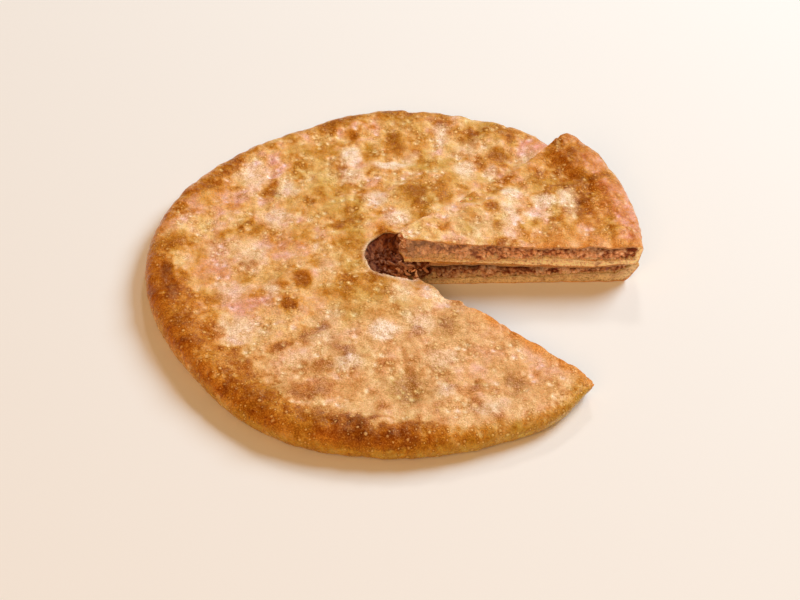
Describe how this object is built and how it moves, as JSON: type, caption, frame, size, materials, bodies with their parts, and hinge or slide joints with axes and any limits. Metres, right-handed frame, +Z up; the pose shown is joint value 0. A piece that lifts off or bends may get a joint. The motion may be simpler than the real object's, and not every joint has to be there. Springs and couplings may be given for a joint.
{
  "type": "ossetian pie",
  "caption": "Flat round Ossetian meat pie of browned dough with a vent in the middle of its top, a slice cut out and laid on the pie beside the gap.",
  "frame": {"origin": "middle of the whole's outline seen from above, on the face that the pie rests on", "axes": "+Z up, +Y to the pie's far side as pictured, +X to the right, where the gap opens"},
  "size_m": [0.3224, 0.3216, 0.0392],
  "materials": {
    "crust": "baked wheat dough, pale gold with brown blisters, brushed with butter to a satin sheen",
    "filling": "cooked minced meat, brown, moist and torn"
  },
  "bodies": {
    "root": {"pie_crust": "crust", "pie_filling": "filling", "slice_crust": "crust", "slice_filling": "filling"}
  },
  "joints": []
}
